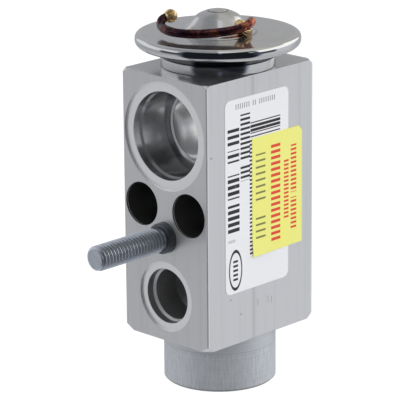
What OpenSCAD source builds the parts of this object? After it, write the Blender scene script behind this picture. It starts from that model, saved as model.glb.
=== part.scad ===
// Block expansion valve for a refrigeration or cooling loop.
// Millimetres. The origin is the centre of the boss's lower face, on the valve's axis.
// +Z is up the valve's axis, and -Y points out of the face that carries the flange stud.

/* [Block] */
// Width of the block across its port faces
block_w = 27.3; // [27.2:0.1:34]
// Depth of the block from port face to port face
block_d = 36.2; // [35.4:0.1:44]
// Height of the block without its boss
block_h = 64; // [63:0.5:70]
// Height of the turned boss under the block
boss_h = 12.9; // [11:0.1:18]
// Radius of the turned boss
boss_r = 13.45; // [11:0.05:13.5]
// Height of the turned chamfer at the block's lower corners
foot_chamfer = 1.5; // [0.5:0.1:2.4]
// Height of the turned chamfer at the block's upper corners
crown_chamfer = 1.05; // [0.4:0.05:2]
// Bevel along the block's upright edges
edge_bevel = 0.3; // [0.1:0.05:0.6]
// Bevel around the boss's lower edge
boss_bevel = 0.3; // [0.2:0.1:1]

/* [Suction passage] */
// Height of the suction passage above the block's lower face
suction_rise = 49.9; // [48.9:0.1:50.4]
// Radius of the suction port's seal bore
suction_r = 10.05; // [9.2:0.05:10.2]
// Depth of the suction port's seal bore
suction_depth = 11; // [8:0.5:11.5]
// Radius of the suction port's entry
suction_entry_r = 10.55; // [10.35:0.05:10.9]
// Depth of a port's entry
entry_depth = 2.4; // [1.6:0.1:3]
// Radius of the passage through the block
passage_r = 8.5; // [7.6:0.1:8.8]
// Radius of the spot face around the suction port
suction_spot_r = 12.95; // [11.6:0.05:13]

/* [Liquid ports] */
// Height of the liquid inlet above the block's lower face
inlet_rise = 11; // [10.4:0.1:11.6]
// Height of the evaporator outlet above the liquid inlet
outlet_step = 9; // [8.4:0.1:9.2]
// Radius of a liquid port's seal bore
liquid_r = 6.15; // [5.4:0.05:6.3]
// Depth of a liquid port's seal bore
liquid_depth = 9.6; // [7.5:0.1:9.8]
// Radius of a liquid port's entry
liquid_entry_r = 6.65; // [6.4:0.05:6.9]
// Radius of the spot face around a liquid port
liquid_spot_r = 8.5; // [7.4:0.1:8.6]
// Radius of the drilling from a liquid port to the valve's axis
link_r = 2.6; // [1.6:0.1:2.9]
// Depth of every spot face
spot_depth = 0.5; // [0.2:0.1:0.8]

/* [Clamp holes] */
// Distance between the two clamp holes
clamp_pitch = 15.3; // [15.1:0.1:15.7]
// Radius of a clamp hole
clamp_r = 5.24; // [4:0.02:5.3]
// Height of the clamp holes above the block's lower face
clamp_rise = 32.25; // [31.9:0.05:32.6]

/* [Flange stud] */
// Radius of the stud's thread
stud_r = 3; // [2.5:0.1:3.4]
// Length of the stud in front of the port face
stud_len = 22.7; // [16:0.1:30]
// Radius of the stud's anchor end
stud_anchor_r = 3.65; // [3.45:0.05:3.9]
// Length of the anchor end that shows in front of the face
stud_collar = 2; // [1:0.1:3]
// Depth of the anchor end in the block
stud_bury = 9; // [6:0.5:10]
// Height of the stud above the block's lower face
stud_rise = 25.55; // [25.1:0.05:25.7]
// Chamfer at the stud's tip
stud_chamfer = 0.6; // [0.3:0.1:1]

/* [Label] */
// Width of the white label
label_w = 21.4; // [16:0.1:24]
// Height of the white label
label_h = 46.7; // [40:0.1:50]
// Distance of the label's middle from the valve's axis, towards the stud's face
label_shift = 1.4; // [0:0.1:2]
// Height of the label's middle above the block's lower face
label_rise = 36; // [34:0.1:37]
// Corner radius of the label
label_round = 1.6; // [0.5:0.1:3]
// Thickness of the label and of the tag on it
foil_t = 0.12; // [0.08:0.01:0.2]
// Width of the yellow tag
tag_w = 17.2; // [12:0.1:18]
// Height of the yellow tag
tag_h = 28.7; // [22:0.1:34]
// Distance of the tag's middle from the valve's axis, away from the stud's face
tag_shift = 5.45; // [4.5:0.05:7]
// Height of the tag's middle above the block's lower face
tag_rise = 34.6; // [33:0.1:36]
// Length of the tag's cut corner
tag_cut = 1.2; // [0.5:0.1:2]

/* [Power head] */
// Outer radius of the head's rim
rim_r = 19.45; // [18:0.05:21]
// Radius of the turned collar under the head
collar_r = 13.55; // [13.2:0.05:13.6]
// Height of the head's rim, at mid thickness, over the block
rim_rise = 6.05; // [5.8:0.05:7]
// Thickness of the head's rim
rim_t = 3; // [2.4:0.1:3.2]
// Radius of the head's threaded neck
neck_r = 9.5; // [9:0.1:10]
// Gap between the neck's lower end and the suction port's seal bore
neck_gap = 0.1; // [0.05:0.05:0.6]
// Radius of the bore through the neck
neck_bore_r = 7.2; // [6.6:0.1:7.6]
// Radius of the recess that holds the diaphragm pad
recess_r = 12; // [11.2:0.1:12.3]
// Thickness of the recess's floor over the block
recess_floor = 3; // [2.4:0.1:3]
// Wall of the upper cover
cover_t = 1.15; // [0.8:0.05:1.2]
// Thickness of the diaphragm
diaphragm_t = 0.2; // [0.1:0.05:0.3]
// Sag of the diaphragm onto its pad with the valve closed
diaphragm_sag = 0.6; // [0.5:0.05:0.7]
// Radius of the dome where it meets the head's flat
dome_r = 8.75; // [7.6:0.05:9.2]
// Height of the dome above the head's flat
dome_h = 5.5; // [5:0.1:6.5]
// Radius of the dome's shoulder
shoulder_r = 5.1; // [4.6:0.1:5.6]
// Height of the dome's crown above its shoulder
crown_h = 1.55; // [1:0.05:1.7]
// Radius of the rounding between crown and flank
shoulder_round = 2.5; // [1.5:0.1:3.5]
// Radius of the fillet at the dome's foot
foot_round = 1.2; // [0.6:0.1:1.6]
// Cord of the seal under the collar
head_seal_cord = 1.6; // [1.2:0.1:1.9]

/* [Charge tube] */
// Radius of the charge tube
tube_r = 1.05; // [0.8:0.05:1.1]
// Radius of the sealed bead at the tube's end
bead_r = 1.6; // [1.3:0.05:1.8]
// Radius of the brazed ferrule on the dome
ferrule_r = 2.3; // [1.9:0.1:2.5]
// Height of the ferrule over the dome's flank
ferrule_h = 0.8; // [0.6:0.1:1.2]

/* [Valve gear] */
// Radius of the diaphragm pad
pad_r = 8; // [7:0.1:9]
// Thickness of the diaphragm pad
pad_t = 1.3; // [1:0.05:1.4]
// Radius of the pad's hub
hub_r = 5.2; // [4.8:0.1:5.8]
// Depth of the pad's hub
hub_h = 4; // [3:0.1:5]
// Radius of the sensing rod
sense_r = 3.4; // [3:0.1:3.8]
// Depth of the sensing rod's seat in the pad
sense_seat = 3.4; // [2:0.1:3.6]
// Radius of the push rod
rod_r = 1.5; // [1.2:0.05:1.5]
// Depth of the push rod's seat in the sensing rod
rod_seat = 3; // [2:0.1:5]
// Running clearance of the push rod in its guide
rod_gap = 0.05; // [0.03:0.01:0.09]
// Radius of the valve ball
ball_r = 2.8; // [2.4:0.05:2.9]
// Radius of the metering orifice
orifice_r = 1.9; // [1.8:0.05:1.95]
// Length of the metering orifice
orifice_len = 2; // [1.4:0.1:2.4]
// Gap left between the closed ball and its seat
seat_gap = 0.03; // [0.02:0.01:0.06]
// Radius of the outlet cavity over the orifice
cavity_r = 3.2; // [2.8:0.1:3.4]
// Radius of the ball carrier's plate
carrier_r = 4.6; // [4.4:0.05:4.9]
// Thickness of the ball carrier's plate
carrier_t = 1.2; // [0.9:0.1:1.5]
// Thickness of the damper clip
damper_t = 0.3; // [0.2:0.05:0.5]
// Opening travel of the ball
stroke = 0.5; // [0.3:0.05:0.5]

/* [Spring and adjuster] */
// Radius of the spring chamber
chamber_r = 5.5; // [5.3:0.05:5.6]
// Wire diameter of the valve spring
wire_d = 1.1; // [0.9:0.05:1.2]
// Mean radius of the valve spring
spring_r = 3.9; // [3.6:0.05:4]
// Coils of the valve spring
spring_coils = 4.5; // [3.5:0.5:5]
// Radius of the adjusting screw
screw_r = 6.6; // [6.4:0.05:7]
// Length of the adjusting screw
screw_len = 7.6; // [7:0.1:8]
// Depth of the adjusting screw under the boss's face
screw_sunk = 2.2; // [1.8:0.1:3]
// Width across flats of the screw's key socket
key_w = 5; // [4:0.5:6]
// Depth of the screw's key socket
key_depth = 3; // [2:0.1:3.4]
// Cord of the adjusting screw's seal
screw_seal_cord = 1.5; // [1.2:0.05:1.6]
// Turning clearance of the adjusting screw in its thread
screw_gap = 0.06; // [0.03:0.01:0.09]
// Travel of the adjusting screw each way from its set place
screw_travel = 1; // [0.5:0.1:1.2]

/* [Rod seal] */
// Cord of the push rod's seal
rod_seal_cord = 1.5; // [1.3:0.05:1.6]
// Thickness of the seal retainer
retainer_t = 0.6; // [0.4:0.05:0.8]

/* [Hidden] */

fit_gap = 0.05;          // gap at each side between fixed pieces that fit each other
thin = 0.1;              // how far a cut runs past a face
tip_angle = 118;         // drill tip
seat_angle = 45;         // slope of the ball's seat
round_fn = 96;
coarse_fn = 24;
wire_sides = 10;
tube_sides = 12;
tube_steps = 4;

// heights on the valve's axis
block_z = boss_h;
top_z = boss_h + block_h;
suction_z = block_z + suction_rise;
inlet_z = block_z + inlet_rise;
outlet_z = inlet_z + outlet_step;
clamp_z = block_z + clamp_rise;
stud_z = block_z + stud_rise;
face_y = block_d / 2;
corner_r = norm([block_w / 2, block_d / 2]);
passage_floor = suction_z - passage_r;
cavity_top = outlet_z + link_r + 1;

// the seat, worked up from the liquid inlet
chamber_top = inlet_z + link_r + 0.5;
seat_h = 1.5;
orifice_z = chamber_top + seat_h;
seat_mouth_r = orifice_r + seat_h / tan(seat_angle);
ball_z = orifice_z + orifice_r / tan(seat_angle) - ball_r / sin(seat_angle) - seat_gap;
orifice_top = orifice_z + orifice_len;

// the rod's seal gland, under the suction passage
gland_r = rod_r + rod_seal_cord + 0.15;
gland_h = 3.8;
gland_z = passage_floor - gland_h;
rod_seal_z = gland_z + fit_gap + rod_seal_cord / 2;
retainer_z = rod_seal_z + rod_seal_cord / 2 + fit_gap;

// the power head
rim_z = top_z + rim_rise;
flange_z = rim_z - rim_t / 2;
flat_z = rim_z + rim_t / 2;
sheet_z = rim_z - diaphragm_t / 2;
recess_z = top_z + recess_floor;
weld_r = rim_r - 0.85;
flange_root = 0.7;
crease_r = rim_r - rim_t / 2;
neck_z = suction_z + suction_r + neck_gap;
head_seal_r = neck_r + 0.5 + head_seal_cord / 2;
head_seal_z = top_z - head_seal_cord / 2;
crown_r = (pow(shoulder_r, 2) + pow(crown_h, 2)) / (2 * crown_h);

// the moving stack, from the diaphragm down
pad_top = sheet_z - diaphragm_sag;
pad_z = pad_top - pad_t;
hub_z = pad_z - hub_h;
sense_top = hub_z + sense_seat;
sense_z = suction_z - sqrt(pow(passage_r, 2) - pow(sense_r, 2)) + stroke + 0.4;
sense_len = sense_top - sense_z;
rod_z = ball_z + ball_r + fit_gap / 2;
rod_len = sense_z + rod_seat - rod_z;

// the carrier, the spring and the adjusting screw
cup_depth = 0.9;
carrier_z = ball_z - ball_r + cup_depth - fit_gap / 2 - carrier_t;
boss_stub_r = spring_r - wire_d / 2 - 0.3;
boss_stub_h = 1.6;
spring_top = carrier_z;
screw_top = screw_sunk + screw_len;
spring_z = screw_top;
spring_h = spring_top - spring_z;
screw_seal_r = screw_r - screw_seal_cord / 2;
screw_seal_z = screw_top - 2.3;
chamber_floor = screw_top + screw_travel + 0.3;

// Points on an arc. The angles run from straight up towards +X.
function arc(middle, r, from, to, steps, skip = 0) =
    [for (i = [skip : steps]) let (a = from + (to - from) * i / steps) middle + r * [sin(a), cos(a)]];

// the dome's section: crown, shoulder, straight flank and foot fillet
flank_rise = dome_h - crown_h;
flank_run = dome_r - shoulder_r;
flank_tilt = atan2(flank_rise, flank_run);
flank_out = [sin(flank_tilt), cos(flank_tilt)];
crown_middle = [0, flat_z + dome_h - crown_r];
flank_far = ([dome_r, flat_z] - crown_middle) * flank_out;
crown_turn = flank_tilt - acos((flank_far - shoulder_round) / (crown_r - shoulder_round));
shoulder_middle = crown_middle + (crown_r - shoulder_round) * [sin(crown_turn), cos(crown_turn)];
foot_middle = [dome_r + foot_round * tan(flank_tilt / 2), flat_z + foot_round];
rim_steps = 8;
dome_outline = concat(
    arc(crown_middle, crown_r, 0, crown_turn, 8),
    arc(shoulder_middle, shoulder_round, crown_turn, flank_tilt, 3, 1),
    arc(foot_middle, foot_round, 180 + flank_tilt, 180, 4));

// the ferrule sits square on the dome's flank
ferrule_turn = 10;
ferrule_share = 0.42;
ferrule_at = [dome_r - ferrule_share * flank_run, flat_z + ferrule_share * flank_rise];
ferrule_sunk = 0.6;

// the charge tube's run over the head, as [x, y, height over the head's flat]
tube_run = [[9.2, 1.4, 3.6], [9.9, 0.7, 3.65], [10.1, -0.5, 3.3], [9.6, -2.3, 2.8], [8.7, -4.4, 2.4],
            [6.8, -7.3, 2.1], [4.4, -10, 1.9], [2.1, -11.8, 1.85], [-0.3, -12.8, 1.85], [-2.6, -13, 1.9],
            [-4.9, -12.5, 1.95], [-6.8, -11.6, 2.1], [-7.8, -10.9, 2.6], [-8.2, -10.1, 3.3],
            [-8, -9.3, 3.7], [-7.81, -8.93, 3.82]];
bead_seat = 0.9;         // from the tube's end to the bead's middle

// A point on the line through the ferrule, h above the dome's flank.
function on_ferrule(h) =
    let (out = ferrule_at[0] + h * sin(flank_tilt))
    [out * cos(ferrule_turn), out * sin(ferrule_turn), ferrule_at[1] + h * cos(flank_tilt)];

function over_flat(p) = [p[0], p[1], flat_z + p[2]];

tube_points = concat([on_ferrule(2 * fit_gap), on_ferrule(ferrule_h)], [for (p = tube_run) over_flat(p)]);

// Curve through a list of points
function spot(pts, i) = pts[max(0, min(len(pts) - 1, i))];
function curve_at(pts, i, t) =
    let (a = spot(pts, i - 1), b = spot(pts, i), c = spot(pts, i + 1), d = spot(pts, i + 2))
    0.5 * (2 * b + (c - a) * t + (2 * a - 5 * b + 4 * c - d) * t * t + (3 * b - a - 3 * c + d) * t * t * t);
function curve(pts, steps) =
    concat([for (i = [0 : len(pts) - 2]) for (s = [0 : steps - 1]) curve_at(pts, i, s / steps)],
           [pts[len(pts) - 1]]);
function unit(v) = v / norm(v);
function heading(path, i) = unit(spot(path, i + 1) - spot(path, i - 1));

tube_path = curve(tube_points, tube_steps);
tube_end = tube_path[len(tube_path) - 1];
tube_way = heading(tube_path, len(tube_path) - 1);

// Side directions carried along the path without twist
function carried(path, i, u) = let (t = heading(path, i)) unit(u - (u * t) * t);
function sides(path, first) =
    [for (i = 0, u = carried(path, 0, first); i < len(path); i = i + 1, u = carried(path, min(i, len(path) - 1), u)) u];

// A round rod of radius r swept along a path
module swept(path, r, n, first) {
    u = sides(path, first);
    rings = [for (i = [0 : len(path) - 1])
        let (t = heading(path, i), v = cross(t, u[i]))
        for (k = [0 : n - 1]) path[i] + r * (cos(360 * k / n) * u[i] + sin(360 * k / n) * v)];
    last = len(path) - 1;
    walls = [for (i = [0 : last - 1]) for (k = [0 : n - 1])
        [i * n + k, i * n + (k + 1) % n, (i + 1) * n + (k + 1) % n, (i + 1) * n + k]];
    ends = [[for (k = [n - 1 : -1 : 0]) k], [for (k = [0 : n - 1]) last * n + k]];
    polyhedron(points = rings, faces = concat(walls, ends), convexity = 6);
}

// A cylinder that runs from the port face, at depth y_from to depth y_to
module bore_y(r, y_from, y_to, z, x = 0, r_end = -1, side = -1) {
    translate([x, side * (face_y - y_from), z])
        rotate([side < 0 ? -90 : 90, 0, 0])
            cylinder(h = y_to - y_from, r1 = r, r2 = r_end < 0 ? r : r_end, $fn = round_fn);
}

// A seal ring lying flat
module seal_ring(mid_r, cord, z) {
    translate([0, 0, z])
        rotate_extrude($fn = round_fn)
            translate([mid_r, 0])
                circle(d = cord, $fn = 32);
}

// A stepped port: spot face, entry, chamfered step, seal bore
module port(r, entry_r, spot_r, depth, z, side) {
    step = entry_r - r;
    bore_y(spot_r, -thin, spot_depth, z, side = side);
    bore_y(entry_r, 0, entry_depth, z, side = side);
    bore_y(entry_r, entry_depth - thin / 10, entry_depth + step, z, r_end = r, side = side);
    bore_y(r, entry_depth, depth, z, side = side);
}

module suction_port(side) {
    port(suction_r, suction_entry_r, suction_spot_r, suction_depth, suction_z, side);
    lip = 0.7;
    bore_y(passage_r + lip, suction_depth - thin / 10, suction_depth + lip, suction_z, r_end = passage_r, side = side);
}

module liquid_port(z, side) {
    port(liquid_r, liquid_entry_r, liquid_spot_r, liquid_depth, z, side);
    tip = liquid_r / tan(tip_angle / 2);
    bore_y(liquid_r, liquid_depth - thin / 10, liquid_depth + tip, z, r_end = 0.01, side = side);
    bore_y(link_r, liquid_depth, face_y, z, side = side);
}

// The extruded bar, turned at both ends
module block_blank() {
    w = block_w / 2;
    d = block_d / 2;
    b = edge_bevel;
    intersection() {
        translate([0, 0, block_z])
            linear_extrude(block_h)
                polygon([[w - b, -d], [w, b - d], [w, d - b], [w - b, d], [b - w, d], [-w, d - b], [-w, b - d], [b - w, -d]]);
        rotate_extrude($fn = round_fn * 2)
            polygon([[0, block_z], [corner_r - foot_chamfer, block_z], [corner_r, block_z + foot_chamfer],
                     [corner_r, top_z - crown_chamfer], [corner_r - crown_chamfer, top_z], [0, top_z]]);
    }
    rotate_extrude($fn = round_fn)
        polygon([[0, 0], [boss_r - boss_bevel, 0], [boss_r, boss_bevel], [boss_r, block_z + 0.01], [0, block_z + 0.01]]);
}

// Everything turned or drilled along the valve's axis
module axis_cuts() {
    rotate_extrude($fn = round_fn)
        polygon([[0, -thin], [screw_r + screw_gap + 0.4, -thin], [screw_r + screw_gap + 0.4, 0], [screw_r + screw_gap, 0.4],
                 [screw_r + screw_gap, chamber_floor], [chamber_r, chamber_floor + 0.6], [chamber_r, chamber_top],
                 [seat_mouth_r, chamber_top], [orifice_r, orifice_z], [orifice_r, orifice_top],
                 [cavity_r, orifice_top + 0.6], [cavity_r, cavity_top], [rod_r + rod_gap, cavity_top + 0.8],
                 [rod_r + rod_gap, gland_z], [gland_r, gland_z], [gland_r, suction_z], [0, suction_z]]);
    rotate_extrude($fn = round_fn)
        polygon([[0, suction_z], [neck_bore_r + 0.3, suction_z], [neck_bore_r + 0.3, neck_z - 0.2],
                 [neck_r + fit_gap, neck_z - 0.2], [neck_r + fit_gap, top_z + thin], [0, top_z + thin]]);
    translate([0, 0, top_z - head_seal_cord])
        difference() {
            cylinder(h = head_seal_cord + thin, r = head_seal_r + head_seal_cord / 2 + fit_gap, $fn = round_fn);
            translate([0, 0, -thin])
                cylinder(h = head_seal_cord + 3 * thin, r = head_seal_r - head_seal_cord / 2 - fit_gap, $fn = round_fn);
        }
}

module valve_block() {
    color("#c9ccd0")
        difference() {
            block_blank();
            bore_y(passage_r, -thin, block_d + thin, suction_z);
            for (side = [-1, 1])
                suction_port(side);
            liquid_port(inlet_z, -1);
            liquid_port(outlet_z, 1);
            for (x = [-clamp_pitch / 2, clamp_pitch / 2])
                bore_y(clamp_r, -thin, block_d + thin, clamp_z, x);
            bore_y(stud_anchor_r + fit_gap, -thin, stud_bury + 0.3, stud_z);
            axis_cuts();
        }
}

// Turned on its own axis, then laid along -Y with its foot in the block
module flange_stud() {
    color("#8f9aa6")
        translate([0, stud_bury - face_y, stud_z])
            rotate([90, 0, 0])
                rotate_extrude($fn = round_fn)
                    polygon([[0, 0], [stud_anchor_r - 0.4, 0], [stud_anchor_r, 0.4],
                             [stud_anchor_r, stud_bury + stud_collar - 0.3], [stud_anchor_r - 0.3, stud_bury + stud_collar],
                             [stud_r, stud_bury + stud_collar], [stud_r, stud_bury + stud_len - stud_chamfer],
                             [stud_r - stud_chamfer, stud_bury + stud_len], [0, stud_bury + stud_len]]);
}

// A rounded foil outline, width along Y and height along Z once it stands
module foil_outline(w, h, r) {
    hull()
        for (x = [r - w / 2, w / 2 - r], y = [r - h / 2, h / 2 - r])
            translate([x, y])
                circle(r = r, $fn = coarse_fn);
}

// Lays an outline on the block's +X face
module on_side(y, z, lift, t) {
    translate([block_w / 2 + lift, y, z])
        rotate([90, 0, 90])
            linear_extrude(t)
                children();
}

module white_label() {
    color("#f4f4f2")
        on_side(-label_shift, block_z + label_rise, 0, foil_t)
            foil_outline(label_w, label_h, label_round);
}

module tag_outline() {
    w = tag_w / 2;
    h = tag_h / 2;
    polygon([[-w, -h], [w, -h], [w, h - tag_cut], [w - tag_cut, h], [-w, h]]);
}

// The tag lies on the label, and steps down to the block beyond the label's edge
module date_tag() {
    edge = label_w / 2 - label_shift;
    color("#e8c81e") {
        on_side(tag_shift, block_z + tag_rise, foil_t, foil_t)
            tag_outline();
        intersection() {
            on_side(tag_shift, block_z + tag_rise, 0, foil_t)
                tag_outline();
            translate([0, edge + fit_gap, block_z])
                cube([block_w, block_d, block_h]);
        }
    }
}

module lower_housing() {
    color("#b9bdc2")
        rotate_extrude($fn = round_fn * 2)
            polygon(concat(
                [[neck_bore_r, neck_z], [neck_r - 0.4, neck_z], [neck_r, neck_z + 0.4], [neck_r, top_z],
                 [collar_r - 0.25, top_z], [collar_r, top_z + 0.25]],
                arc([collar_r + flange_root, flange_z - flange_root], flange_root, -90, 0, 4),
                arc([crease_r, rim_z], rim_t / 2, 180, 90, rim_steps),
                [[weld_r, rim_z], [weld_r, sheet_z], [recess_r, sheet_z], [recess_r, recess_z], [neck_bore_r, recess_z]]));
}

module upper_cover() {
    inner = cover_t * 0.75;
    crown_in = crown_r - cover_t;
    color("#c2c5c9")
        difference() {
            rotate_extrude($fn = round_fn * 2)
                polygon(concat(
                    dome_outline,
                    arc([crease_r, rim_z], rim_t / 2, 0, 90, rim_steps),
                    [[weld_r, rim_z], [weld_r, sheet_z + diaphragm_t], [recess_r, sheet_z + diaphragm_t],
                     [recess_r - 0.5, flat_z - cover_t], [dome_r - inner, flat_z - cover_t]],
                    arc(crown_middle, crown_in, asin((shoulder_r - inner) / crown_in), 0, 4)));
            ferrule_frame(-cover_t * 3)
                cylinder(h = cover_t * 6, r = tube_r * 0.7, $fn = 32);
        }
}

// Puts its children on the dome's flank, h above it, pointing straight out
module ferrule_frame(h) {
    translate(on_ferrule(h))
        rotate([0, 0, ferrule_turn])
            rotate([0, flank_tilt, 0])
                children();
}

// A ring around the tube that sits on the dome like a saddle
module tube_ferrule() {
    color("#b08d3c")
        difference() {
            ferrule_frame(0)
                rotate_extrude($fn = 48)
                    polygon([[tube_r + 0.1, -ferrule_sunk], [ferrule_r, -ferrule_sunk], [ferrule_r, ferrule_h * 0.35],
                             [ferrule_r * 0.8, ferrule_h * 0.6], [tube_r + 0.3, ferrule_h - fit_gap],
                             [tube_r + 0.1, ferrule_h - fit_gap]]);
            translate([0, 0, fit_gap])
                rotate_extrude($fn = round_fn * 2)
                    polygon(concat(dome_outline, [[rim_r, flat_z], [rim_r, rim_z], [0, rim_z]]));
        }
}

module charge_tube() {
    color("#5a2a22")
        swept(tube_path, tube_r, tube_sides, [0, 0, 1]);
}

module tube_bead() {
    way = tube_way;
    color("#b3913f")
        difference() {
            translate(tube_end + bead_seat * way)
                sphere(r = bead_r, $fn = 32);
            translate(tube_end + fit_gap * way)
                rotate([0, 180 - acos(way[2]), atan2(way[1], way[0]) + 180])
                    cylinder(h = bead_r, r = tube_r + 0.08, $fn = 32);
        }
}

module diaphragm() {
    w = diaphragm_t;
    low = sheet_z - diaphragm_sag;
    half = sheet_z - diaphragm_sag / 2;
    color("#d5d7da")
        rotate_extrude($fn = round_fn)
            polygon([[0, low], [pad_r, low], [pad_r + 0.8, half], [pad_r + 1.5, half - 0.1], [pad_r + 2.6, sheet_z],
                     [weld_r - fit_gap, sheet_z], [weld_r - fit_gap, sheet_z + w], [pad_r + 2.5, sheet_z + w],
                     [pad_r + 1.4, half - 0.1 + w], [pad_r + 0.7, half + w], [pad_r - 0.1, low + w], [0, low + w]]);
}

module head_seal() {
    color("#1d1f21")
        seal_ring(head_seal_r, head_seal_cord, head_seal_z);
}

module rod_seal() {
    color("#1d1f21")
        seal_ring(rod_r + rod_gap + rod_seal_cord / 2, rod_seal_cord, rod_seal_z);
}

module seal_retainer() {
    color("#9a9da1")
        translate([0, 0, retainer_z])
            difference() {
                cylinder(h = retainer_t, r = gland_r - fit_gap, $fn = round_fn);
                translate([0, 0, -thin])
                    cylinder(h = retainer_t + 2 * thin, r = rod_r + rod_gap * 2, $fn = round_fn);
            }
}

module diaphragm_pad() {
    color("#aeb2b7")
        difference() {
            union() {
                translate([0, 0, pad_z])
                    cylinder(h = pad_t, r = pad_r, $fn = round_fn);
                translate([0, 0, hub_z])
                    cylinder(h = hub_h + thin, r = hub_r, $fn = round_fn);
            }
            translate([0, 0, hub_z - thin])
                cylinder(h = sense_seat + thin, r = sense_r + fit_gap, $fn = round_fn);
        }
}

module sensing_rod() {
    color("#d0d2d4")
        difference() {
            translate([0, 0, sense_z])
                cylinder(h = sense_len, r = sense_r, $fn = round_fn);
            translate([0, 0, sense_z - thin])
                cylinder(h = rod_seat + thin, r = rod_r + fit_gap, $fn = round_fn);
        }
}

module push_rod() {
    color("#b5b8bb")
        translate([0, 0, rod_z])
            cylinder(h = rod_len, r = rod_r, $fn = round_fn);
}

module valve_ball() {
    color("#d9dbdd")
        translate([0, 0, ball_z])
            sphere(r = ball_r, $fn = round_fn);
}

// The cup that holds the ball on the spring
module ball_carrier() {
    color("#b08d3c")
        difference() {
            union() {
                translate([0, 0, carrier_z])
                    cylinder(h = carrier_t, r = carrier_r, $fn = round_fn);
                translate([0, 0, carrier_z - boss_stub_h])
                    cylinder(h = boss_stub_h + thin, r = boss_stub_r, $fn = round_fn);
            }
            translate([0, 0, ball_z])
                sphere(r = ball_r + fit_gap / 2, $fn = round_fn);
        }
}

// A thin clip on the carrier whose four fingers rub on the chamber's wall
module damper_clip() {
    finger_w = 1.4;
    z = carrier_z + carrier_t;
    color("#9a9da1")
        difference() {
            union() {
                translate([0, 0, z])
                    cylinder(h = damper_t, r = carrier_r - 0.1, $fn = round_fn);
                for (a = [0 : 90 : 270])
                    rotate([0, 0, a + 45])
                        translate([carrier_r - 0.6, -finger_w / 2, z])
                            cube([chamber_r - carrier_r + 0.45, finger_w, damper_t]);
            }
            translate([0, 0, z - thin])
                cylinder(h = damper_t + 2 * thin, r = ball_r + 0.3, $fn = round_fn);
        }
}

module valve_spring() {
    turns = spring_coils * 16;
    rise = spring_h - wire_d;
    path = [for (i = [0 : turns])
        let (a = i * 360 / 16, t = i / turns)
        [spring_r * cos(a), spring_r * sin(a), spring_z + wire_d / 2 + rise * t]];
    color("#7d8186")
        swept(path, wire_d / 2 - 0.01, wire_sides, [1, 0, 0]);
}

module screw_seal() {
    color("#1d1f21")
        seal_ring(screw_seal_r, screw_seal_cord, screw_seal_z);
}

module adjusting_screw() {
    half = screw_seal_cord / 2 + fit_gap;
    groove_r = screw_seal_r - half;
    color("#c3a04a")
        difference() {
            rotate_extrude($fn = round_fn)
                polygon([[0, screw_sunk], [screw_r - 0.5, screw_sunk], [screw_r, screw_sunk + 0.5],
                         [screw_r, screw_seal_z - half], [groove_r, screw_seal_z - half], [groove_r, screw_seal_z + half],
                         [screw_r, screw_seal_z + half], [screw_r, screw_top - 0.4], [screw_r - 0.4, screw_top],
                         [0, screw_top]]);
            translate([0, 0, screw_sunk - thin])
                cylinder(h = key_depth + thin, d = key_w / cos(30), $fn = 6);
        }
}

valve_block();
flange_stud();
white_label();
date_tag();
lower_housing();
upper_cover();
diaphragm();
head_seal();
charge_tube();
tube_ferrule();
tube_bead();
rod_seal();
seal_retainer();
diaphragm_pad();
sensing_rod();
push_rod();
valve_ball();
ball_carrier();
damper_clip();
valve_spring();
screw_seal();
adjusting_screw();
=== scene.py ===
"""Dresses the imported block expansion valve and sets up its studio."""
import math

import bmesh
import bpy
from bpy.props import FloatProperty, FloatVectorProperty, IntProperty, PointerProperty
from mathutils import Matrix, Vector, noise


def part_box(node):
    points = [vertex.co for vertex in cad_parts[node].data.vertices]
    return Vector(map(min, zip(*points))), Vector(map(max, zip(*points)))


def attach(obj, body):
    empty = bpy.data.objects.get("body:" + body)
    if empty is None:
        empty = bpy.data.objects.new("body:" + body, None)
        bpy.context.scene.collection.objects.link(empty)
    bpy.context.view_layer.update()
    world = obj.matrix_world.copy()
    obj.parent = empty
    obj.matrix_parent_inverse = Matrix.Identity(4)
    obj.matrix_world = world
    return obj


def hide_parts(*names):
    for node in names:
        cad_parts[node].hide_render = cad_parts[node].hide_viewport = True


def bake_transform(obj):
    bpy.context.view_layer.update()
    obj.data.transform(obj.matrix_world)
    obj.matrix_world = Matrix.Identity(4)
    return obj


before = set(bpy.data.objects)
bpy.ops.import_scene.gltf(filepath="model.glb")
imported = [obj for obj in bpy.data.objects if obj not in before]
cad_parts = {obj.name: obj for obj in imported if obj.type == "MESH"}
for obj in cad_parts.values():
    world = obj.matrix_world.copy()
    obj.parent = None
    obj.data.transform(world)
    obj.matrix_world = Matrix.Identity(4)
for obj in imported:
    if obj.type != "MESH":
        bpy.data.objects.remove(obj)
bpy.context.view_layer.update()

bl_info = {
    "name": "Block Expansion Valve",
    "version": (1, 0, 0),
    "blender": (4, 5, 0),
    "location": "3D View > Sidebar > Valve",
    "description": "Dresses the packed expansion valve and sets up its studio",
    "category": "Add Mesh",
}

MM = 0.001
BODY = "valve_body"

# Places on the valve in millimetres, as the solids have them.
BLOCK_Z = 12.9
TOP_Z = 76.9
SUCTION_Z = 62.8
INLET_Z = 23.9
OUTLET_Z = 32.9
STUD_Z = 38.45
CLAMP_Z = 45.15
CLAMP_X = 7.65
FACE_Y = 18.1
FACE_X = 13.65
RIM_Z = 82.95
FLAT_Z = 84.45
SHEET_Z = 82.85


def node_size(node, axis):
    """Half the width of a CAD node along one axis, in metres."""
    low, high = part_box(node)
    return (high[axis] - low[axis]) / 2


# ---- shaders


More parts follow.
